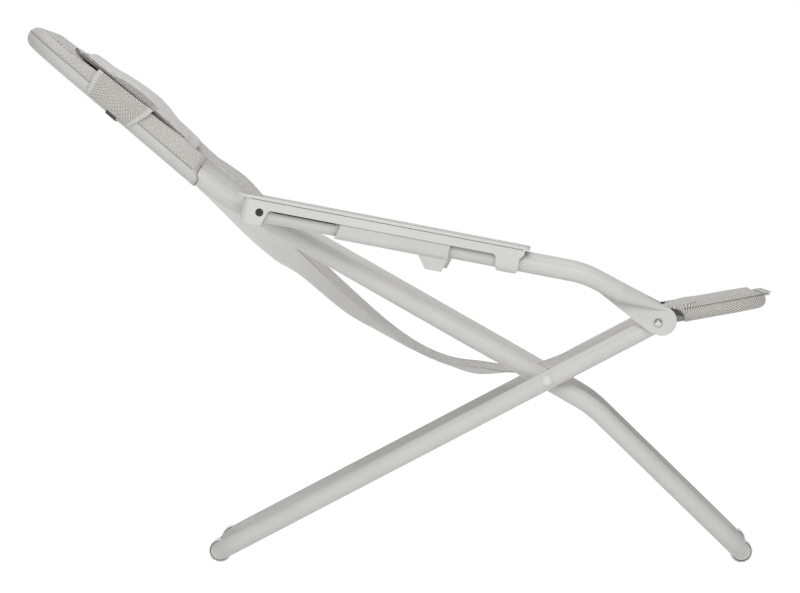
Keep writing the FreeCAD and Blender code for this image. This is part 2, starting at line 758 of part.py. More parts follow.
# Free sling between the pockets
sling_start = local(pocket_end, head_down, fabric_gap, 0, pocket_outer)
sling_end = local(panel_start, front_out, -fabric_gap, 0, front_pocket_outer)
chord = sling_end - sling_start
chord_length = chord.Length
chord_way = V(chord).normalize()
chord_down = across(chord_way) * -1
back_hem = back_half_width - tube_radius - sling_edge_gap
front_hem = seat_half_width - sling_front_gap
hem_points = [sling_start]
hem_sags = [sling_start_sag]
hem_halves = [back_half_width - sling_start_gap]
for share, drop, sag, spread in sling_stations:
    hem_points.append(sling_start + chord_way * (share * chord_length) + chord_down * drop)
    hem_sags.append(sag)
    hem_halves.append(back_hem + spread * (front_hem - back_hem))
hem_points.append(sling_end)
hem_sags.append(sling_end_sag)
hem_halves.append(front_hem)
strips = []
for i, point in enumerate(hem_points):
    if i == 0:
        way = head_down
    elif i == len(hem_points) - 1:
        way = front_out
    else:
        before = (point - hem_points[i - 1]).normalize()
        after = (hem_points[i + 1] - point).normalize()
        way = (before + after).normalize()
    half = hem_halves[i]
    low = -sling_thickness

    def spot(y, n):
        return local(point, way, 0, y, n)

    edges = [
        Part.Arc(spot(-half, 0), spot(0, -hem_sags[i]), spot(half, 0)).toShape(),
        Part.LineSegment(spot(half, 0), spot(half, low)).toShape(),
        Part.Arc(spot(half, low), spot(0, low - hem_sags[i]), spot(-half, low)).toShape(),
        Part.LineSegment(spot(-half, low), spot(-half, 0)).toShape(),
    ]
    strips.append(Part.Wire(edges))
save("seat_sling", Part.makeLoft(strips, True, False))


# Headrest pieces
def head_spot(w, y, n):
    return local(head_bar, head_down, w, y, n)


wrap_origin = head_spot(wrap_start, back_half_width, 0)
wrap = Part.makeCylinder(wrap_outer, wrap_length, wrap_origin, head_down)
wrap = wrap.cut(Part.makeCylinder(wrap_inner, wrap_length, wrap_origin, head_down))
wrap_end = wrap_start + wrap_length
pillow_half = back_half_width - wrap_outer - fabric_gap
flap_start = pillow_half + fabric_gap


# A block along the wrap, from one side line to another and between two heights
def wrap_block(y_start, y_end, low, high):
    corners = []
    for w, n in ((wrap_start, low), (wrap_end, low), (wrap_end, high), (wrap_start, high)):
        corners.append(head_spot(w, y_start, n))
    return flat_face(corners).extrude(V(0, y_end - y_start, 0))


slot_low = pocket_outer - panel_below_top - panel_thickness - wrap_slot
wrap = wrap.cut(wrap_block(back_half_width - 2 * wrap_outer, back_half_width, slot_low, 2 * wrap_outer))
wrap = wrap.fuse(wrap_block(flap_start, back_half_width, wrap_inner, wrap_outer))
save_pair("headrest_wrap", wrap)

pillow_low = pocket_outer + fabric_gap
ribs = []
for run, crown, drawn in pillow_ribs:
    half = pillow_half - drawn
    edge = pillow_low + pillow_edge_height
    inset = half - pillow_side
    low_right = head_spot(run, -inset, pillow_low)
    low_left = head_spot(run, inset, pillow_low)
    edge_left = head_spot(run, half, edge)
    edge_right = head_spot(run, -half, edge)
    edges = [
        Part.LineSegment(low_right, low_left).toShape(),
        Part.LineSegment(low_left, edge_left).toShape(),
        Part.Arc(edge_left, head_spot(run, 0, crown), edge_right).toShape(),
        Part.LineSegment(edge_right, low_right).toShape(),
    ]
    ribs.append(Part.Wire(edges))
save("headrest_pillow", Part.makeLoft(ribs, True, False))

strap_low = -wrap_outer
strap_half = back_half_width
strap_points = []
for w, n in ((-1, -1), (1, -1), (1, 0), (-1, 0)):
    rise = strap_low - fabric_gap + n * strap_thickness
    strap_points.append(head_spot(strap_run + w * strap_half_width, -strap_half, rise))
strap = flat_face(strap_points).extrude(V(0, 2 * strap_half, 0))
buckle_points = []
buckle_high = strap_low - fabric_gap - strap_thickness / 2 + buckle_thickness / 2
for w, n in ((-1, -1), (1, -1), (1, 0), (-1, 0)):
    rise = buckle_high + n * buckle_thickness
    buckle_points.append(head_spot(strap_run + w * buckle_half_width, -buckle_length / 2, rise))
buckle = flat_face(buckle_points).extrude(V(0, buckle_length, 0))
save("headrest_strap", strap)
save("headrest_buckle", buckle.cut(strap))

for name, point in (("pivot", pivot), ("link pivot", link_pivot), ("arm pivot", arm_pivot)):
    print(name, round(point.x, 4), round(point.z, 4))
lever_axis = arm_pivot + arm_out * lever_pin_run + across(arm_out) * lever_pin_rise
print("lever axis", round(lever_axis.x, 4), round(lever_axis.z, 4))
print("feet", round(rear_foot.x, 3), round(front_foot.x, 3), "arm centre", round(arm_half_centre, 3))
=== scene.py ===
import math

import bmesh
import bpy
import numpy as np
from mathutils import Matrix, Vector, noise


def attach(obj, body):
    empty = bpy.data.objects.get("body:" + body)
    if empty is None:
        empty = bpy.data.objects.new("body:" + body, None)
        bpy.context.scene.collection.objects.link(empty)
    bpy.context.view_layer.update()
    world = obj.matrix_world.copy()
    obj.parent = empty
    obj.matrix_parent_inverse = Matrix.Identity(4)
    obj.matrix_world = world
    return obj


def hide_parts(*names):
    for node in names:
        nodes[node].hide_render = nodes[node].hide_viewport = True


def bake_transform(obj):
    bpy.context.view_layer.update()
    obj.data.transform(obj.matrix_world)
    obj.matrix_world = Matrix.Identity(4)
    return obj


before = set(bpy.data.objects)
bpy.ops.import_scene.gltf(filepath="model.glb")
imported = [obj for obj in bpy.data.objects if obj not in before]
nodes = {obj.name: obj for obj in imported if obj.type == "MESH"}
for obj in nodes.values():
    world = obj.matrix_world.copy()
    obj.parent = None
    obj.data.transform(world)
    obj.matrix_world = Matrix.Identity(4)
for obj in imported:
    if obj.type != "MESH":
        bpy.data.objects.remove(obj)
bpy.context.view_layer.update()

MM = 0.001

# Frame sizes in millimetres, as the tubes are built
TUBE_R = 14.0
BACK_Y = 245.5
SEAT_Y = 275.8
ARM_Y = 308.0
POCKET_R = 16.5
FRONT_POCKET_R = 12.0
FRONT_RIDGE = 14.6
HEAD_CORNER = 70.0
FRONT_CORNER = 50.0
HEAD_POCKET = 321.5
HEAD_RUN = 365.2
BACK_RUN = 565.1
SEAT_RUN = 207.9
FRONT_RUN = 136.5
FRONT_POCKET_START = 10.0
ARM_PIVOT_RUN = 497.4
ARM_PIVOT_DROP = 7.0
# Slopes against the floor in degrees
BACK_SLOPE = 29.47
HEAD_SLOPE = 40.1
REAR_LEG_SLOPE = 27.75
FRONT_LEG_SLOPE = 44.06
FRONT_SLOPE = 10.3
ARM_SLOPE = -10.6
SIDES = (("left", 1.0), ("right", -1.0))


def polar(angle):
    turn = math.radians(angle)
    return Vector((math.cos(turn), 0.0, math.sin(turn)))


def across(d):
    return Vector((-d.z, 0.0, d.x))


PIVOT = Vector((224.2, 0.0, 275.5))
BACK_UP = polar(180 - BACK_SLOPE)
HEAD_UP = polar(180 - HEAD_SLOPE)
HEAD_DOWN = -HEAD_UP
HEAD_OVER = across(HEAD_DOWN)
LEG_UP = polar(REAR_LEG_SLOPE)
FRONT_OUT = polar(FRONT_SLOPE)
FRONT_OVER = across(FRONT_OUT)
BACK_BEND = PIVOT + BACK_UP * BACK_RUN
HEAD_BAR = BACK_BEND + HEAD_UP * HEAD_RUN
SEAT_BEND = PIVOT + LEG_UP * SEAT_RUN
FRONT_FOOT = Vector((519.65, 0.0, 17.0))
REAR_FOOT = Vector((-267.13, 0.0, 17.0))
FRONT_BAR = SEAT_BEND + FRONT_OUT * FRONT_RUN
ARM_PIVOT = PIVOT + BACK_UP * ARM_PIVOT_RUN - across(BACK_UP) * ARM_PIVOT_DROP
ARM_OUT = polar(ARM_SLOPE)
POCKET_END = HEAD_BAR + HEAD_DOWN * HEAD_POCKET


def local(origin, along, w, y, n):
    return origin + along * w + across(along) * n + Vector((0.0, y, 0.0))


# Materials

def new_material(name):
    mat = bpy.data.materials.new(name)
    mat.use_nodes = True
    tree = mat.node_tree
    shader = tree.nodes["Principled BSDF"]
    return mat, tree, shader


def add(tree, kind, **values):
    node = tree.nodes.new(kind)
    for key, value in values.items():
        setattr(node, key, value)
    return node


def math_node(tree, op, a, b=None, clamp=False):
    node = add(tree, "ShaderNodeMath", operation=op, use_clamp=clamp)
    for i, value in enumerate((a, b)):
        if value is None:
            continue
        if isinstance(value, (int, float)):
            node.inputs[i].default_value = value
        else:
            tree.links.new(value, node.inputs[i])
    return node.outputs[0]


def noise_node(tree, coords, scale, detail=3.0, rough=0.5):
    node = add(tree, "ShaderNodeTexNoise")
    tree.links.new(coords, node.inputs["Vector"])
    node.inputs["Scale"].default_value = scale
    node.inputs["Detail"].default_value = detail
    node.inputs["Roughness"].default_value = rough
    return node.outputs["Fac"]


def ramp(tree, fac, stops):
    node = add(tree, "ShaderNodeValToRGB")
    tree.links.new(fac, node.inputs["Fac"])
    elements = node.color_ramp.elements
    while len(elements) < len(stops):
        elements.new(0.5)
    for element, (place, color) in zip(elements, stops):
        element.position = place
        element.color = (*color, 1.0)
    return node.outputs["Color"]


def spread(tree, fac, low, high):
    node = add(tree, "ShaderNodeMapRange")
    tree.links.new(fac, node.inputs["Value"])
    node.inputs["From Min"].default_value = 0.3
    node.inputs["From Max"].default_value = 0.7
    node.inputs["To Min"].default_value = low
    node.inputs["To Max"].default_value = high
    return node.outputs["Result"]


def bump(tree, shader, height, strength, distance):
    node = add(tree, "ShaderNodeBump")
    node.inputs["Strength"].default_value = strength
    node.inputs["Distance"].default_value = distance
    tree.links.new(height, node.inputs["Height"])
    tree.links.new(node.outputs["Normal"], shader.inputs["Normal"])


def tinted(color, factor):
    return tuple(min(1.0, c * factor) for c in color)


def coated(name, color, rough=(0.42, 0.52), grain=1400.0, strength=0.12, contrast=0.03):
    """A fine coat or moulded grain with slight cloudiness."""
    mat, tree, shader = new_material(name)
    coords = add(tree, "ShaderNodeTexCoord").outputs["Object"]
    cloud = noise_node(tree, coords, 9.0, 4.0)
    fine = noise_node(tree, coords, grain, 2.0)
    stops = [(0.3, tinted(color, 1 - contrast)), (0.7, tinted(color, 1 + contrast))]
    tree.links.new(ramp(tree, cloud, stops), shader.inputs["Base Color"])
    tree.links.new(spread(tree, fine, *rough), shader.inputs["Roughness"])
    bump(tree, shader, fine, strength, 0.0002)
    return mat


def bright_metal(name, color, rough=(0.22, 0.36)):
    mat, tree, shader = new_material(name)
    coords = add(tree, "ShaderNodeTexCoord").outputs["Object"]
    fine = noise_node(tree, coords, 2600.0, 3.0)
    tree.links.new(ramp(tree, fine, [(0.3, tinted(color, 0.9)), (0.7, color)]), shader.inputs["Base Color"])
    tree.links.new(spread(tree, fine, *rough), shader.inputs["Roughness"])
    shader.inputs["Metallic"].default_value = 1.0
    bump(tree, shader, fine, 0.1, 0.0001)
    return mat


# Tone of the plain face, painted light, as a place between the weave's dark and light
PAINTED_LIGHT_FACE = 0.66


def woven(name, light, dark, period_u, period_v, rough=0.72, fade=None):
    """A plain weave of coated yarns. The pattern follows the mesh's UVs, which are in metres,
    and with fade it comes in between two lengths along the cloth, from a plain face of painted light."""
    mat, tree, shader = new_material(name)
    uv = add(tree, "ShaderNodeUVMap", uv_map="UVMap").outputs["UV"]
    split = add(tree, "ShaderNodeSeparateXYZ")
    tree.links.new(uv, split.inputs[0])
    u = math_node(tree, "DIVIDE", split.outputs["X"], period_u)
    v = math_node(tree, "DIVIDE", split.outputs["Y"], period_v)
    warp_line = math_node(tree, "COSINE", math_node(tree, "MULTIPLY", u, 2 * math.pi))
    weft_line = math_node(tree, "COSINE", math_node(tree, "MULTIPLY", v, 2 * math.pi))
    over = math_node(tree, "MULTIPLY",
                     math_node(tree, "COSINE", math_node(tree, "MULTIPLY", u, math.pi)),
                     math_node(tree, "COSINE", math_node(tree, "MULTIPLY", v, math.pi)))
    lines = math_node(tree, "MAXIMUM", warp_line, weft_line)
    height = math_node(tree, "ADD", math_node(tree, "MULTIPLY", lines, 0.15),
                       math_node(tree, "MULTIPLY", over, 0.5))
    height = math_node(tree, "ADD", height, 0.5, clamp=True)
    if fade:
        past = math_node(tree, "SUBTRACT", split.outputs["Y"], fade[0])
        amount = math_node(tree, "DIVIDE", past, fade[1] - fade[0], clamp=True)
        height = math_node(tree, "SUBTRACT", height, PAINTED_LIGHT_FACE)
        height = math_node(tree, "ADD", math_node(tree, "MULTIPLY", height, amount), PAINTED_LIGHT_FACE)
    coords = add(tree, "ShaderNodeTexCoord").outputs["Object"]
    cloud = noise_node(tree, coords, 14.0, 4.0)
    fine = noise_node(tree, coords, 420.0, 2.0)
    shade = height
    for field, amount in ((cloud, 0.12), (fine, 0.3)):
        off_mean = math_node(tree, "SUBTRACT", field, 0.5)
        shade = math_node(tree, "ADD", shade, math_node(tree, "MULTIPLY", off_mean, amount))
    tree.links.new(ramp(tree, shade, [(0.25, dark), (0.75, light)]), shader.inputs["Base Color"])
    shader.inputs["Roughness"].default_value = rough
    shader.inputs["Sheen Weight"].default_value = 0.15
    shader.inputs["Sheen Roughness"].default_value = 0.4
    bump(tree, shader, height, 0.55, 0.0006)
    return mat


TUBE_COLOR = (0.545, 0.543, 0.522)
PLASTIC_COLOR = (0.585, 0.585, 0.562)
tube_mat = coated("powder_coat", TUBE_COLOR, rough=(0.36, 0.46), grain=1600.0, strength=0.1)
arm_mat = coated("armrest_grain", PLASTIC_COLOR, rough=(0.5, 0.62), grain=1100.0, strength=0.2)
lever_mat = coated("lever_grain", (0.53, 0.528, 0.507), rough=(0.5, 0.62), grain=1100.0, strength=0.2)
foot_mat = coated("foot_plastic", (0.94, 0.94, 0.925), rough=(0.45, 0.55), grain=900.0, strength=0.2)
spacer_mat = coated("spacer_plastic", (0.34, 0.333, 0.32), rough=(0.4, 0.5))
rivet_mat = coated("rivet_paint", (0.64, 0.64, 0.62), rough=(0.3, 0.4), grain=2200.0, strength=0.08)
steel_mat = bright_metal("bright_steel", (0.5, 0.5, 0.5), rough=(0.25, 0.4))
screw_mat = bright_metal("screw_steel", (0.52, 0.52, 0.52), rough=(0.18, 0.3))
spigot_mat = bright_metal("plain_steel", (0.6, 0.6, 0.6), rough=(0.35, 0.5))
# Painted shade: the front tube is dark where it shows at the front pocket's open ends, for the shadow there
front_tube_shade_mat = coated("front_tube_painted_shade", (0.2, 0.196, 0.185), rough=(0.4, 0.5), grain=1600.0, strength=0.1)
bush_mat = coated("bush_plastic", (0.06, 0.06, 0.058), rough=(0.5, 0.6))
black_mat = coated("black_bolt", (0.012, 0.012, 0.012), rough=(0.35, 0.5), grain=2000.0)
buckle_mat = coated("black_buckle", (0.015, 0.015, 0.016), rough=(0.45, 0.6), grain=1500.0)
mesh_mat = woven("pocket_weave", (0.72, 0.7, 0.665), (0.2, 0.193, 0.178), 0.0015, 0.0015)
front_mesh_mat = woven("front_weave", (0.69, 0.664, 0.622), (0.105, 0.1, 0.09), 0.0022, 0.0022)
sling_mat = woven("sling_weave", (0.75, 0.735, 0.705), (0.17, 0.165, 0.154), 0.0017, 0.0017)
# Painted light: the sling's underside is lighter than its top, with a plain light face near the head
sling_under_light_mat = woven("sling_under_painted_light", (0.8, 0.8, 0.77), (0.27, 0.265, 0.25), 0.0017, 0.0017,
                  fade=(0.42, 0.6))
pillow_mat = woven("pillow_weave", (0.8, 0.79, 0.765), (0.3, 0.294, 0.28), 0.0015, 0.0015)
# Painted shade: a darker weave for the pillow's sideways ends
pillow_end_shade_mat = woven("pillow_end_painted_shade", (0.56, 0.545, 0.515), (0.07, 0.066, 0.06), 0.0016, 0.0016)
wrap_mat = woven("wrap_weave", (0.72, 0.695, 0.655), (0.11, 0.105, 0.096), 0.0017, 0.0017)
hem_mat = woven("hem_weave", (0.8, 0.78, 0.75), (0.26, 0.25, 0.235), 0.0016, 0.0016)
plain_mat = coated("plain_cloth", (0.53, 0.528, 0.51), rough=(0.7, 0.8), grain=900.0, strength=0.25,
                   contrast=0.04)
strap_mat = woven("strap_webbing", (0.03, 0.03, 0.031), (0.008, 0.008, 0.008), 0.0016, 0.003, rough=0.65)
# Thread colour, dark also as painted shade along the front pocket's flap edge
front_seam_and_shade_mat = coated("seam_thread_and_shade", (0.16, 0.155, 0.145), rough=(0.6, 0.7), grain=2500.0)
hem_seam_mat = coated("hem_thread", (0.3, 0.293, 0.275), rough=(0.6, 0.7), grain=2500.0)
# Painted shade, for the gaps round the tubes in the foot pads and over the link tube in the armrests'
# windows
painted_gap_shade_mat = coated("painted_gap_shade", (0.02, 0.02, 0.019), rough=(0.7, 0.8), grain=1500.0)
# Painted shade, for the inside of the pockets' open ends
pocket_shade_mat = coated("pocket_painted_shade", (0.06, 0.058, 0.054), rough=(0.7, 0.8), grain=1500.0)
# The cover's joint line: a real joint, dark also as painted shade of its groove
joint_and_shade_mat = coated("cover_joint_and_shade", (0.13, 0.13, 0.125), rough=(0.7, 0.8), grain=1500.0)

NODE_MATERIALS = {
    "head_tube": tube_mat, "back_leg_tube": tube_mat, "front_tube": front_tube_shade_mat, "rear_leg_tube": tube_mat,
    "link_tube": tube_mat, "back_spigot": spigot_mat, "seat_bush": bush_mat,
    "front_foot_pad": foot_mat, "rear_foot_pad": foot_mat, "crossing_rivet": rivet_mat,
    "crossing_spacer": spacer_mat, "link_washer": spacer_mat, "link_plug": spacer_mat,
    "link_screw": screw_mat, "link_nut": steel_mat, "armrest_nut": steel_mat, "armrest_bolt": black_mat,
    "lever_pin_outer": steel_mat, "lever_pin_inner": steel_mat, "armrest_body": arm_mat,
    "armrest_cover": arm_mat, "release_lever": lever_mat,
}


def plain_name(node):
    for side, _ in SIDES:
        if node.endswith("_" + side):
            return node[: -len(side) - 1]
    return node


for name, obj in nodes.items():
    mat = NODE_MATERIALS.get(plain_name(name))
    if mat is None:
        continue
    obj.data.materials.clear()
    obj.data.materials.append(mat)
    for polygon in obj.data.polygons:
        polygon.material_index = 0


# Mesh helpers

def mesh_object(name, verts, faces, mat, uvs=None, smooth=True):
    mesh = bpy.data.meshes.new(name)
    mesh.from_pydata([Vector(v) * MM for v in verts], [], faces)
    if uvs is not None:
        layer = mesh.uv_layers.new(name="UVMap")
        for loop in mesh.loops:
            layer.data[loop.index].uv = uvs[loop.vertex_index]
    mesh.polygons.foreach_set("use_smooth", [smooth] * len(mesh.polygons))
    mesh.materials.append(mat)
    mesh.update()
    obj = bpy.data.objects.new(name, mesh)
    bpy.context.scene.collection.objects.link(obj)
    return obj


def grid_faces(rows, cols, closed=False):
    faces = []
    last = cols if closed else cols - 1
    for i in range(rows - 1):
        for j in range(last):
            k = (j + 1) % cols
            faces.append((i * cols + j, i * cols + k, (i + 1) * cols + k, (i + 1) * cols + j))
    return faces


def set_grid_uv(obj, rows, cols, closed, u_of, v_of):
    """UVs in metres: u_of[j] across, with one more entry than columns when closed, and v_of[i] along."""
    layer = obj.data.uv_layers.new(name="UVMap")
    for polygon in obj.data.polygons:
        indices = [obj.data.loops[k].vertex_index for k in polygon.loop_indices]
        columns = [v % cols for v in indices]
        wraps = closed and (cols - 1) in columns and 0 in columns
        for k, v in zip(polygon.loop_indices, indices):
            j = v % cols
            i = min(v // cols, rows - 1)
            across_u = u_of[cols] if wraps and j == 0 else u_of[j]
            layer.data[k].uv = (across_u, v_of[i])


def applied(obj):
    """Replaces the object's mesh with its evaluated one and drops the modifiers."""
    bpy.context.view_layer.update()
    graph = bpy.context.evaluated_depsgraph_get()
    mesh = bpy.data.meshes.new_from_object(obj.evaluated_get(graph))
    obj.modifiers.clear()
    obj.data = mesh
    return obj


def modifier(obj, kind, **values):
    mod = obj.modifiers.new(kind.lower(), kind)
    for key, value in values.items():
        setattr(mod, key, value)
    return mod


def thickened(obj, thickness, offset=0.0):
    """Gives an open strip a closed thickness, in millimetres."""
    modifier(obj, "SOLIDIFY", thickness=thickness * MM, offset=offset)
    return applied(obj)


def outward_normals(obj):
    bm = bmesh.new()
    bm.from_mesh(obj.data)
    bmesh.ops.recalc_face_normals(bm, faces=bm.faces)
    bm.to_mesh(obj.data)
    bm.free()


def rounded_path(points, radii, step=4.0):
    """Points along straight runs joined by arcs, with the turn of each bend spread evenly."""
    path = [points[0]]
    for i in range(1, len(points) - 1):
        before = (points[i] - points[i - 1]).normalized()
        after = (points[i + 1] - points[i]).normalized()
        half = before.angle(after) / 2
        r = radii[i - 1]
        reach = r * math.tan(half)
        start = points[i] - before * reach
        centre = points[i] + (after - before).normalized() * (r / math.cos(half))
        axis = before.cross(after).normalized()
        count = max(4, int(2 * half * r / step))
        run = (start - path[-1]).length
        pieces = max(1, int(run / (3 * step)))
        origin = path[-1]
        for k in range(1, pieces):
            path.append(origin.lerp(start, k / pieces))
        for k in range(count + 1):
            turn = Matrix.Rotation(2 * half * k / count, 3, axis)
            path.append(centre + turn @ (start - centre))
    run = (points[-1] - path[-1]).length
    pieces = max(1, int(run / (3 * step)))
    origin = path[-1]
    for k in range(1, pieces + 1):
        path.append(origin.lerp(points[-1], k / pieces))
    return path


def path_lengths(path):
    lengths = [0.0]
    for a, b in zip(path, path[1:]):
        lengths.append(lengths[-1] + (b - a).length)
    return lengths


# Fabric pockets: a sleeve over a bent tube, sewn shut along a ridge, with cut and hemmed open ends

RIDGE_TILT = math.radians(-12.0)
SIDE_SEAM = math.radians(84.0)
RIDGE_RUNS = (0.0, 60.0, 119.5, 226.5, 268.5, 303.5, 340.0)
RIDGE_HEIGHTS = (16.6, 17.6, 22.0, 26.0, 29.0, 28.0, 27.5)


def ridge_height(run):
    """Height of the head pocket's sewn edge above the tube axis, at a run from the head bar."""
    return float(np.interp(run, RIDGE_RUNS, RIDGE_HEIGHTS))


def drop_radius(radius, peak, turn):
    """Radius of a drop-shaped loop: a circle with a peak at turn 0, joined by tangents."""
    if peak <= radius:
        return radius
    touch = math.acos(radius / peak)
    off = abs((turn + math.pi) % (2 * math.pi) - math.pi)
    return radius / math.cos(touch - off) if off < touch else radius


def sleeve(name, path, over, radius, peak_of, cut, mat, segments=48, hem=9.0, fade=45.0, under=None):
    """cut lists the height on the tube, as a share of its radius, and the reach of the open end there.
    under is the material below the side seam."""
    lengths = path_lengths(path)
    total = lengths[-1]
    verts = []
    for i, (p, s) in enumerate(zip(path, lengths)):
        way = (path[min(i + 1, len(path) - 1)] - path[max(i - 1, 0)]).normalized()
        out = way.cross(over)
        from_end = min(s, total - s)
        end_way = way if s > total / 2 else -way
        for j in range(segments):
            turn = 2 * math.pi * j / segments
            angle = RIDGE_TILT + turn
            r = drop_radius(radius, peak_of(p), turn)
            r += 0.5 if from_end < hem else 0.0
            r += 0.35 * noise.noise(Vector((s * 0.012, math.cos(turn) * 0.9, math.sin(turn) * 0.9)))
            r += 0.25 * math.sin(s * 0.16 + 3 * turn) * max(0.0, 1 - from_end / 60.0)
            reach = float(np.interp(math.cos(angle), *cut)) * max(0.0, 1 - from_end / fade)
            verts.append(p + (over * math.cos(angle) + out * math.sin(angle)) * r + end_way * reach)
    rows = len(path)
    obj = mesh_object(name, verts, grid_faces(rows, segments, True), mat)
    around = [2 * math.pi * radius * j / segments * MM for j in range(segments + 1)]
    set_grid_uv(obj, rows, segments, True, around, [s * MM for s in lengths])
    if under:
        obj.data.materials.append(under)
        for i, polygon in enumerate(obj.data.polygons):
            turn = RIDGE_TILT + 2 * math.pi * (i % segments + 0.5) / segments
            polygon.material_index = 1 if math.cos(turn) < math.cos(SIDE_SEAM) else 0
    outward_normals(obj)
    modifier(obj, "SOLIDIFY", thickness=1.2 * MM, offset=-1.0)
    return applied(obj)


def side_y(point, y):
    return Vector((point.x, y, point.z))


def head_peak(p):
    """The ridge only stands up along the two sides."""
    run = (p - HEAD_BAR).dot(HEAD_DOWN)
    return ridge_height(run) / math.cos(RIDGE_TILT) if abs(p.y) > BACK_Y - 1.0 else POCKET_R


head_points = [side_y(POCKET_END, BACK_Y), side_y(HEAD_BAR, BACK_Y),
               side_y(HEAD_BAR, -BACK_Y), side_y(POCKET_END, -BACK_Y)]
head_path = rounded_path(head_points, [HEAD_CORNER, HEAD_CORNER])
HEAD_CUT = ((-1.0, -0.3, 0.0, 1.0), (5.0, 4.0, -3.0, -6.0))
head_sleeve = sleeve("head_pocket_sleeve", head_path, HEAD_OVER, POCKET_R, head_peak, HEAD_CUT, mesh_mat,
                     under=plain_mat)
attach(head_sleeve, "back_frame")

# Painted shade: dark sleeves inside the pockets' open ends, where shadow falls
HEAD_SHADE_CUT = ((-1.0, -0.3, 0.0, 1.0), (6.0, 5.0, -2.0, -5.0))
FRONT_SHADE_CUT = ((-1.0, -0.3, 0.1, 0.5, 1.0), (-11.0, -10.0, 2.0, 16.0, 24.0))


def pocket_shade(name, start, way, y, over, radius, cut, body):
    path = [side_y(start + way * (6.0 * k), y) for k in range(11)]
    obj = sleeve(name, path, over, radius, lambda p: radius, cut, pocket_shade_mat, hem=0.0)
    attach(obj, body)


for side_name, sign in SIDES:
    pocket_shade("head_pocket_shade_" + side_name, POCKET_END, HEAD_UP, sign * BACK_Y, HEAD_OVER, POCKET_R - 1.3,
           HEAD_SHADE_CUT, "back_frame")

front_start = SEAT_BEND + FRONT_OUT * FRONT_POCKET_START
for side_name, sign in SIDES:
    pocket_shade("front_pocket_shade_" + side_name, front_start, FRONT_OUT, sign * SEAT_Y, FRONT_OVER,
           FRONT_POCKET_R - 1.5, FRONT_SHADE_CUT, "seat_frame")
front_points = [side_y(front_start, -SEAT_Y), side_y(FRONT_BAR, -SEAT_Y),
                side_y(FRONT_BAR, SEAT_Y), side_y(front_start, SEAT_Y)]
front_path = rounded_path(front_points, [FRONT_CORNER, FRONT_CORNER])
FRONT_CUT = ((-1.0, 0.0, 0.36, 0.65, 0.94, 1.0), (-11.0, -11.0, -8.5, -5.0, 3.5, 15.0))
front_sleeve = sleeve("front_pocket_sleeve", front_path, FRONT_OVER, FRONT_POCKET_R - 0.3,
                      lambda p: FRONT_RIDGE / math.cos(RIDGE_TILT), FRONT_CUT, front_mesh_mat)
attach(front_sleeve, "seat_frame")


def seam_line(name, path, over, radius, angle, width, mat, skip):
    """A narrow sewn line along a sleeve, at an angle round the tube from its top."""
    lengths = path_lengths(path)
    total = lengths[-1]
    verts, uvs = [], []
    rows = 0
    for i, (p, s) in enumerate(zip(path, lengths)):
        if min(s, total - s) < skip:
            continue
        way = (path[min(i + 1, len(path) - 1)] - path[max(i - 1, 0)]).normalized()
        out = way.cross(over)
        for side in (-1, 0, 1):
            turn = angle + side * width / 2 / radius
            lift = radius + (0.5 if side == 0 else 0.1)
            verts.append(p + (over * math.cos(turn) + out * math.sin(turn)) * lift)
            uvs.append((side * width / 2 * MM, s * MM))
        rows += 1
    return thickened(mesh_object(name, verts, grid_faces(rows, 3), mat, uvs), 0.4)


# The front pocket's seam: a sewn line, darkened also as painted shade along the flap's edge
front_seam = seam_line("front_pocket_seam", front_path, FRONT_OVER, FRONT_POCKET_R + 0.3,
                       math.radians(51.0), 0.9, front_seam_and_shade_mat, 8.0)
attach(front_seam, "seat_frame")
head_seam = seam_line("head_pocket_seam", head_path, HEAD_OVER, POCKET_R + 0.2,
                      SIDE_SEAM, 1.2, hem_seam_mat, 4.0)
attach(head_seam, "back_frame")


# The sling sheet, from the head bar over the free seat to the front bar

# Hem of the free sling in the side view: X, Z, sag of the middle below it and half width
HEM = [
    (-278.8, 601.8, 51.5, 239.0), (-245.6, 576.9, 55.5, 236.0), (-198.8, 523.5, 50.5, 227.0),
    (-161.6, 481.9, 42.5, 223.0), (-132.8, 452.5, 31.5, 222.0), (-69.7, 393.7, 25.6, 222.0),
    (-21.5, 352.0, 12.0, 222.0), (26.8, 319.2, 4.8, 222.0), (75.0, 300.1, 6.6, 222.0),
    (123.3, 293.4, 14.0, 222.0), (183.6, 286.5, -1.0, 222.0), (243.7, 298.0, -8.0, 226.0),
    (296.5, 326.0, -4.0, 238.0), (364.4, 363.0, -1.0, 252.0),
]
# The panel in the head pocket: run from the head bar, and sag of its middle below the ridge
HEAD_PANEL = [(0.0, 0.5), (30.0, 2.0), (60.0, 4.0), (119.5, 9.0), (175.0, 12.0),
              (226.5, 17.0), (268.5, 30.0), (303.5, 46.0)]
# The panel in the front pocket: run from the seat bend
FRONT_PANEL = (22.0, 60.0, 95.0, 120.0, 136.0)


def corner_inset(to_bar, radius):
    """How far a bent bar has come in from its straight side, at a distance from the bar."""
    return radius - math.sqrt(max(0.0, radius ** 2 - max(0.0, radius - to_bar) ** 2))


def sling_keys():
    """Hem line points with the sag and half width there."""
    keys = []
    for run, sag in HEAD_PANEL:
        height = ridge_height(run) - 0.6
        half = BACK_Y - ridge_height(run) * math.tan(-RIDGE_TILT) - corner_inset(run, HEAD_CORNER)
        keys.append((HEAD_BAR + HEAD_DOWN * run + HEAD_OVER * height, sag, half))
    for x, z, sag, half in HEM:
        keys.append((Vector((x, 0.0, z)), sag, half))
    for run in FRONT_PANEL:
        half = SEAT_Y - FRONT_RIDGE * math.tan(-RIDGE_TILT) - corner_inset(FRONT_RUN - run, FRONT_CORNER)
        keys.append((SEAT_BEND + FRONT_OUT * run + FRONT_OVER * (FRONT_RIDGE - 0.6), 1.0, half))
    return keys


def catmull(values, t):
    i = min(int(t), len(values) - 2)
    f = t - i
    p0 = values[max(i - 1, 0)]
    p1 = values[i]
    p2 = values[i + 1]
    p3 = values[min(i + 2, len(values) - 1)]
    return (p1 * 2 + (p2 - p0) * f + (p0 * 2 - p1 * 5 + p2 * 4 - p3) * f * f
            + (p1 * 3 - p0 - p2 * 3 + p3) * f * f * f) * 0.5


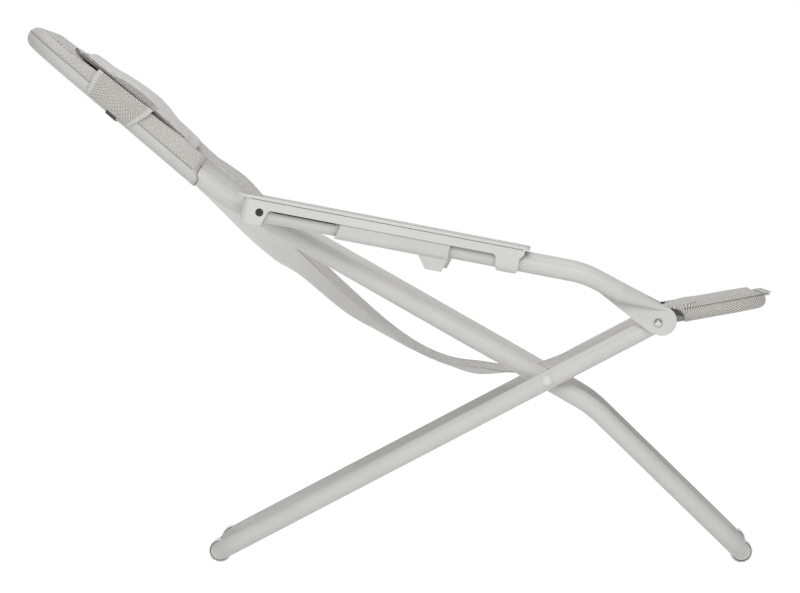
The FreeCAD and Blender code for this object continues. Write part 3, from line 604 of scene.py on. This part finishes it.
def build_sling():
    keys = sling_keys()
    centres = [k[0] for k in keys]
    sags = [k[1] for k in keys]
    halves = [k[2] for k in keys]
    per = 7
    rows = (len(keys) - 1) * per + 1
    cols = 65
    line = []
    for i in range(rows):
        t = i / per
        line.append((catmull(centres, t), catmull(sags, t), catmull(halves, t)))
    verts = []
    uvs = []
    along = 0.0
    for i, (c, sag, half) in enumerate(line):
        a = line[max(0, i - 1)][0]
        b = line[min(rows - 1, i + 1)][0]
        way = (b - a).normalized()
        up = across(way)
        if i:
            along += (c - line[i - 1][0]).length
        for j in range(cols):
            f = 2 * j / (cols - 1) - 1
            y = f * half
            n = -sag * (1 - f * f)
            n += 0.8 * noise.noise(Vector((along * 0.006, y * 0.008, 1.7)))
            verts.append(c + up * n + Vector((0, y, 0)))
            uvs.append((y * MM, along * MM))
    obj = mesh_object("sling_sheet", verts, grid_faces(rows, cols), sling_mat, uvs)
    modifier(obj, "SOLIDIFY", thickness=1.5 * MM, offset=0.0)
    applied(obj)
    obj.data.materials.append(sling_under_light_mat)
    # Faces turned down take the lighter under weave: painted light
    for polygon in obj.data.polygons:
        polygon.material_index = 1 if polygon.normal.z < 0 else 0
    mean_half = sum(h for _, _, h in line) / rows
    return obj, along, mean_half


sling, sling_length, sling_half = build_sling()
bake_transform(sling)
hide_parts("back_sling")
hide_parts("seat_sling")
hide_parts("front_pocket")

# The seam lip along the front bar: two hems with a gap between them
# Each has its name, lower and upper height above the bar, and reach
LIPS = (("front_lip_upper", 7.6, 10.2, 20.6), ("front_lip_lower", 4.6, 6.8, 18.6))


def build_lip(name, low, high, start, end):
    half = SEAT_Y - FRONT_CORNER + 6.0
    rows = 41
    verts, uvs = [], []
    for i in range(rows):
        y = -half + 2 * half * i / (rows - 1)
        wave = 0.4 * math.sin(y * 0.05)
        for w, n in ((start, low), (end, low), (end + 0.4, (low + high) / 2), (end, high), (start, high)):
            verts.append(local(FRONT_BAR, FRONT_OUT, w, y, n + wave))
            uvs.append((w * MM, y * MM))
    ends = [tuple(range(4, -1, -1)), tuple(range(5 * rows - 5, 5 * rows))]
    return mesh_object(name, verts, grid_faces(rows, 5, True) + ends, mesh_mat, uvs, smooth=False)


for lip_name, lip_low, lip_high, lip_end in LIPS:
    lip = build_lip(lip_name, lip_low, lip_high, FRONT_POCKET_R - 3.0, lip_end)
    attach(lip, "seat_frame")

# Headrest

WRAP_R = 18.3
WRAP_LIFT = 2.4
SLIDE_UP = 30.0
SLIDE_DOWN = 45.0
STRAP_RUN = 163.0
STRAP_HALF = 9.4
STRAP_FROM = 139.0
STRAP_SWEEP = 41.0
# Pillow ribs: run from the head bar, height of the crown and drawn-in side
RIBS = [(52.0, 21.0, 20.0), (64.0, 27.5, 8.0), (85.0, 33.5, 3.0), (106.5, 37.0, 1.0), (147.5, 43.5, 0.0),
        (186.5, 45.0, 0.0), (221.5, 38.5, 2.0), (256.5, 30.0, 6.0), (278.0, 20.0, 18.0)]
PILLOW_HALF = BACK_Y - 19.0
PILLOW_ARCH = 5.0
PILLOW_ROUND_FROM = 0.94
PILLOW_END_DROP = 9.0
PILLOW_RIM = 5.0
PILLOW_CLEAR = 3.2
PILLOW_SWELL = 2.0
PILLOW_VOXEL = 3.2


def panel_height(run, y):
    """Height of the back panel above the tube axis, under the pillow."""
    sag = float(np.interp(run, [r for r, _ in HEAD_PANEL], [s for _, s in HEAD_PANEL]))
    share = min(1.0, abs(y) / (BACK_Y - 5.0))
    return ridge_height(run) - 0.6 - sag * (1 - share * share)


def pillow_floor(run, y):
    """The highest that the panel gets under this point of the pillow, anywhere along its slide."""
    return max(panel_height(run + shift, y) for shift in np.linspace(-SLIDE_UP, SLIDE_DOWN, 11))


def pillow_height(crown, share):
    """Height of the pillow's top: gently arched, and rounded at its two ends."""
    past = max(0.0, share - PILLOW_ROUND_FROM) / (1 - PILLOW_ROUND_FROM)
    return crown - PILLOW_ARCH * share ** 2 - PILLOW_END_DROP * past ** 2


def build_pillow():
    rows, cols = 31, 61
    top, low = [], []
    for i in range(rows):
        t = (len(RIBS) - 1) * i / (rows - 1)
        run = catmull([r[0] for r in RIBS], t)
        crown = catmull([r[1] for r in RIBS], t) - PILLOW_SWELL
        half = PILLOW_HALF - catmull([r[2] for r in RIBS], t) - PILLOW_SWELL
        for j in range(cols):
            share = 2 * j / (cols - 1) - 1
            y = share * half
            under = pillow_floor(run, y) + PILLOW_CLEAR + PILLOW_SWELL
            high = max(under + PILLOW_RIM, pillow_height(crown, abs(share)))
            top.append(local(HEAD_BAR, HEAD_DOWN, run, y, high))
            low.append(local(HEAD_BAR, HEAD_DOWN, run, y, under))
    count = rows * cols
    faces = grid_faces(rows, cols)
    under_faces = [tuple(count + k for k in reversed(face)) for face in faces]
    edge = [j for j in range(cols)] + [i * cols + cols - 1 for i in range(1, rows)]
    edge += [(rows - 1) * cols + j for j in range(cols - 2, -1, -1)]
    edge += [i * cols for i in range(rows - 2, 0, -1)]
    rim = [(b, a, count + a, count + b) for a, b in zip(edge, edge[1:] + edge[:1])]
    obj = mesh_object("headrest_cushion", top + low, faces + under_faces + rim, pillow_mat)
    outward_normals(obj)
    return obj


def swell(obj, voxel, pressure, cap, frames=20):
    """Swells a closed form like a stuffed cover, with each point's travel capped."""
    modifier(obj, "REMESH", mode="VOXEL", voxel_size=voxel)
    applied(obj)
    start = np.array([v.co for v in obj.data.vertices], float)
    cloth = modifier(obj, "CLOTH")
    cloth.settings.use_pressure = True
    cloth.settings.uniform_pressure_force = pressure
    cloth.settings.effector_weights.gravity = 0.0
    cloth.settings.quality = 5
    cloth.settings.tension_stiffness = 30.0
    cloth.settings.compression_stiffness = 30.0
    cloth.settings.bending_stiffness = 3.0
    cloth.point_cache.frame_start = 1
    cloth.point_cache.frame_end = frames
    scene = bpy.context.scene
    for f in range(1, frames + 1):
        scene.frame_set(f)
    applied(obj)
    scene.frame_set(1)
    moved = np.array([v.co for v in obj.data.vertices], float)
    shift = moved - start
    length = np.linalg.norm(shift, axis=1, keepdims=True)
    scale = np.minimum(1.0, cap / np.maximum(length, 1e-9))
    moved = start + shift * scale
    for v, co in zip(obj.data.vertices, moved):
        v.co = co
    return obj


def plane_uv(obj, u_way, v_way):
    layer = obj.data.uv_layers.get("UVMap") or obj.data.uv_layers.new(name="UVMap")
    for loop in obj.data.loops:
        co = obj.data.vertices[loop.vertex_index].co
        layer.data[loop.index].uv = (co.dot(u_way), co.dot(v_way))


pillow = build_pillow()
swell(pillow, PILLOW_VOXEL * MM, 4.0, PILLOW_SWELL * MM)
modifier(pillow, "SUBSURF", levels=1, render_levels=1)
applied(pillow)
for vertex in pillow.data.vertices:
    place = vertex.co / MM - HEAD_BAR
    lift = pillow_floor(place.dot(HEAD_DOWN), place.y) + PILLOW_CLEAR - place.dot(HEAD_OVER)
    if lift > 0:
        vertex.co += HEAD_OVER * (lift * MM)
plane_uv(pillow, Vector((0, 1, 0)), HEAD_DOWN)
pillow.data.polygons.foreach_set("use_smooth", [True] * len(pillow.data.polygons))
# Faces turned sideways take the darker weave: painted shade on the pillow's ends
pillow.data.materials.append(pillow_end_shade_mat)
for polygon in pillow.data.polygons:
    if abs(polygon.normal.y) > 0.4:
        polygon.material_index = 1
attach(pillow, "headrest")
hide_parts("headrest_pillow")

# The wrap's edges round the tube: height as a share of the radius, then the run of each edge
WRAP_SHARES = (-1.0, -0.6, 1.2)
WRAP_FROM = (114.0, 112.0, 103.4)
WRAP_TO = (192.0, 196.5, 208.0)
WRAP_TURN = math.radians(146.0)
WRAP_LENGTH = 96.0
WRAP_HEM = 7.0
FLAP_COLS = 6


def build_wrap(name, side):
    """A band sewn to the pillow's end, laid over the ridge and down the outside of the tube."""
    rows, cols = 41, 45
    verts = []
    for i in range(rows):
        f = i / (rows - 1)
        for j in range(cols):
            turn = WRAP_TURN * max(0.0, j - FLAP_COLS) / (cols - 1 - FLAP_COLS)
            share = math.cos(RIDGE_TILT + turn)
            run = np.interp(share, WRAP_SHARES, WRAP_FROM) * (1 - f)
            run += np.interp(share, WRAP_SHARES, WRAP_TO) * f
            ridge = max(ridge_height(run), ridge_height(run + SLIDE_DOWN))
            r = drop_radius(POCKET_R, ridge / math.cos(RIDGE_TILT), turn) + WRAP_LIFT
            if min(f, 1 - f) < 0.075:
                r += 0.5
            r += 0.35 * noise.noise(Vector((run * 0.03, turn * 1.3, side * 3.1)))
            y = BACK_Y + r * math.sin(RIDGE_TILT + turn)
            n = r * math.cos(RIDGE_TILT + turn)
            flap = max(0, FLAP_COLS - j)
            y -= 3.0 * flap
            n -= 0.1 * flap
            p = local(HEAD_BAR, HEAD_DOWN, run, 0, n)
            verts.append(Vector((p.x, side * y, p.z)))
    obj = mesh_object(name, verts, grid_faces(rows, cols), wrap_mat)
    around = [1.4 * j * MM for j in range(cols)]
    set_grid_uv(obj, rows, cols, False, around, [WRAP_LENGTH * i / (rows - 1) * MM for i in range(rows)])
    modifier(obj, "SOLIDIFY", thickness=1.2 * MM, offset=1.0 if side > 0 else -1.0)
    applied(obj)
    obj.data.materials.append(hem_mat)
    uv = obj.data.uv_layers["UVMap"].data
    for polygon in obj.data.polygons:
        v = sum(uv[k].uv.y for k in polygon.loop_indices) / len(polygon.loop_indices)
        polygon.material_index = 1 if min(v, WRAP_LENGTH * MM - v) < WRAP_HEM * MM else 0
    return obj


for side_name, sign in SIDES:
    wrap = build_wrap("headrest_band_" + side_name, sign)
    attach(wrap, "headrest")
    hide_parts("headrest_wrap_" + side_name)


def build_strap():
    """Webbing from one wrap's lower edge round under the tube to the other's."""
    line = []
    radius = WRAP_R - 0.3
    for k in range(9):
        turn = math.radians(STRAP_FROM + STRAP_SWEEP * k / 8)
        line.append((BACK_Y + radius * math.sin(turn), radius * math.cos(turn)))
    for k in range(1, 24):
        line.append((BACK_Y * (1 - k / 12), -radius - 0.4 * math.sin(math.pi * k / 24)))
    line += [(-y, n) for y, n in reversed(line[:9])]
    cols = 7
    verts, uvs = [], []
    along = 0.0
    for i, (y, n) in enumerate(line):
        if i:
            along += math.hypot(y - line[i - 1][0], n - line[i - 1][1])
        for j in range(cols):
            w = STRAP_RUN - STRAP_HALF + 2 * STRAP_HALF * j / (cols - 1)
            verts.append(local(HEAD_BAR, HEAD_DOWN, w, y, n))
            uvs.append((w * MM, along * MM))
    obj = mesh_object("headrest_webbing", verts, grid_faces(len(line), cols), strap_mat, uvs)
    modifier(obj, "SOLIDIFY", thickness=1.4 * MM, offset=0.0)
    return applied(obj)


strap = build_strap()
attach(strap, "headrest")
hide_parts("headrest_strap")
nodes["headrest_buckle"].data.materials.clear()
nodes["headrest_buckle"].data.materials.append(buckle_mat)

# Dark strips at the joints, painted shade in the gaps: round the tube in each foot pad, and along each
# armrest, where the cover's line is also a real joint
# A pad's two faces, as distances in from the frame's side
PAD_OUTER = 47.0
PAD_INNER = 91.0
PAD_GAP_RADII = (TUBE_R, 15.2)
PAD_GAP_FROM = 68.0
PAD_GAP_SWEEP = 224.0
# Half width, runs and heights of the joint line under the cover, dark also as painted shade of its groove,
# and of the painted shade along the edge over the link tube
COVER_LINE = (24.06, (-16.0, 397.0), (18.1, 18.98))
WINDOW_SHADE = (18.8, (19.5, 115.0), (3.2, 5.2))


# A near-black ring on each pad's end faces round the tube: painted shade in the gap
def build_pad_gap_shade(name, foot, leg_way, half_width):
    verts, faces = [], []
    steps = 36
    for y in (half_width - PAD_OUTER, half_width - PAD_INNER):
        for y_face in (y, -y):
            lift = 0.08 if abs(y_face) == half_width - PAD_OUTER else -0.08
            first = len(verts)
            for k in range(steps + 1):
                turn = math.radians(PAD_GAP_FROM + PAD_GAP_SWEEP * k / steps)
                for r in PAD_GAP_RADII:
                    p = local(foot, leg_way, r * math.cos(turn), 0.0, r * math.sin(turn))
                    verts.append(side_y(p, y_face + math.copysign(lift, y_face)))
            faces += [tuple(first + c for c in face) for face in grid_faces(steps + 1, 2)]
    return thickened(mesh_object(name, verts, faces, painted_gap_shade_mat), 0.3)


for gap_name, foot, leg_way, half_width, body in (
        ("front_pad_gap_shade", FRONT_FOOT, polar(180 - FRONT_LEG_SLOPE), BACK_Y, "back_frame"),
        ("rear_pad_gap_shade", REAR_FOOT, LEG_UP, SEAT_Y, "seat_frame")):
    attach(build_pad_gap_shade(gap_name, foot, leg_way, half_width), body)


def build_arm_line(name, side, line, mat):
    half, runs, heights = line
    verts, faces = [], []
    for edge in (-half, half):
        first = len(verts)
        for w in runs:
            for n in heights:
                verts.append(side_y(local(ARM_PIVOT, ARM_OUT, w, 0.0, n), side * ARM_Y + edge))
        faces.append((first, first + 2, first + 3, first + 1))
    return thickened(mesh_object(name, verts, faces, mat), 0.3)


for side_name, sign in SIDES:
    cover_line = build_arm_line("armrest_joint_and_shade_" + side_name, sign, COVER_LINE, joint_and_shade_mat)
    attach(cover_line, "armrest_" + side_name)
    # Painted shade: a dark strip along the window's top edge, over the link tube
    window_shade = build_arm_line("armrest_window_shade_" + side_name, sign, WINDOW_SHADE, painted_gap_shade_mat)
    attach(window_shade, "armrest_" + side_name)

# Stage: a white floor that keeps a faint shadow, soft light and the camera

def build_stage():
    bpy.ops.mesh.primitive_plane_add(size=30.0, location=(0, 0, 0))
    floor = bpy.context.object
    floor.name = "studio_floor"
    mat, tree, shader = new_material("studio_floor")
    shader.inputs["Base Color"].default_value = (0.75, 0.75, 0.75, 1)
    shader.inputs["Roughness"].default_value = 0.9
    shader.inputs["Specular IOR Level"].default_value = 0.0
    path = add(tree, "ShaderNodeLightPath")
    seen = math_node(tree, "MAXIMUM", path.outputs["Is Camera Ray"], path.outputs["Is Glossy Ray"])
    seen = math_node(tree, "MAXIMUM", seen, path.outputs["Is Transmission Ray"])
    white = add(tree, "ShaderNodeEmission")
    white.inputs["Color"].default_value = (1, 1, 1, 1)
    strength = math_node(tree, "ADD", math_node(tree, "MULTIPLY", seen, 0.5), 0.25)
    tree.links.new(strength, white.inputs["Strength"])
    both = add(tree, "ShaderNodeAddShader")
    tree.links.new(shader.outputs[0], both.inputs[0])
    tree.links.new(white.outputs[0], both.inputs[1])
    tree.links.new(both.outputs[0], tree.nodes["Material Output"].inputs["Surface"])
    floor.data.materials.append(mat)

    world = bpy.data.worlds.new("studio")
    bpy.context.scene.world = world
    world.use_nodes = True
    tree = world.node_tree
    background = tree.nodes["Background"]
    background.inputs["Color"].default_value = (1, 1, 1, 1)
    path = add(tree, "ShaderNodeLightPath")
    seen = path.outputs["Is Camera Ray"]
    strength = math_node(tree, "ADD", math_node(tree, "MULTIPLY", seen, 0.5), 0.5)
    tree.links.new(strength, background.inputs["Strength"])


def area_light(name, place, target, size, power):
    data = bpy.data.lights.new(name, "AREA")
    data.shape = "RECTANGLE"
    data.size, data.size_y = size
    data.energy = power
    obj = bpy.data.objects.new(name, data)
    bpy.context.scene.collection.objects.link(obj)
    obj.location = place
    obj.rotation_euler = (Vector(target) - Vector(place)).to_track_quat("-Z", "Y").to_euler()


build_stage()
area_light("key", (0.4, -3.2, 2.3), (0, 0, 0.4), (2.2, 1.6), 45.0)
area_light("fill", (-0.3, -3.4, 0.9), (0, 0, 0.35), (2.6, 1.2), 11.0)
area_light("top", (-0.2, 0.4, 3.0), (0, 0, 0.4), (2.4, 1.8), 26.0)

# Camera level with the armrests, far off, with the shift of the photograph's crop
IMAGE_W, IMAGE_H = 800.0, 593.0
VANISH = (537.0, 210.8)
NEAR_SCALE = 1.5
NEAR_DISTANCE = 9.845
FLOOR_LINE = 563.8
X_OFFSET = 0.0037
ROLL = math.radians(0.2)
ROLL_DROP = (VANISH[0] - IMAGE_W / 2) * ROLL
ROLL_SIDE = 0.3
camera_data = bpy.data.cameras.new("photo_camera")
camera = bpy.data.objects.new("photo_camera", camera_data)
bpy.context.scene.collection.objects.link(camera)
camera.location = ((VANISH[0] - IMAGE_W / 2) * NEAR_SCALE * MM + X_OFFSET, -SEAT_Y * MM - NEAR_DISTANCE,
                   (FLOOR_LINE - VANISH[1]) * NEAR_SCALE * MM)
camera.rotation_euler = (math.radians(90), -ROLL, 0)
camera_data.sensor_fit = "HORIZONTAL"
camera_data.sensor_width = 36.0
camera_data.lens = 36.0 * NEAR_DISTANCE / (IMAGE_W * NEAR_SCALE * MM)
camera_data.shift_x = -(VANISH[0] + ROLL_SIDE - IMAGE_W / 2) / IMAGE_W
camera_data.shift_y = (VANISH[1] + ROLL_DROP - IMAGE_H / 2) / IMAGE_W
camera_data.clip_end = 100.0
bpy.context.scene.camera = camera
bpy.context.scene.view_settings.view_transform = "Standard"
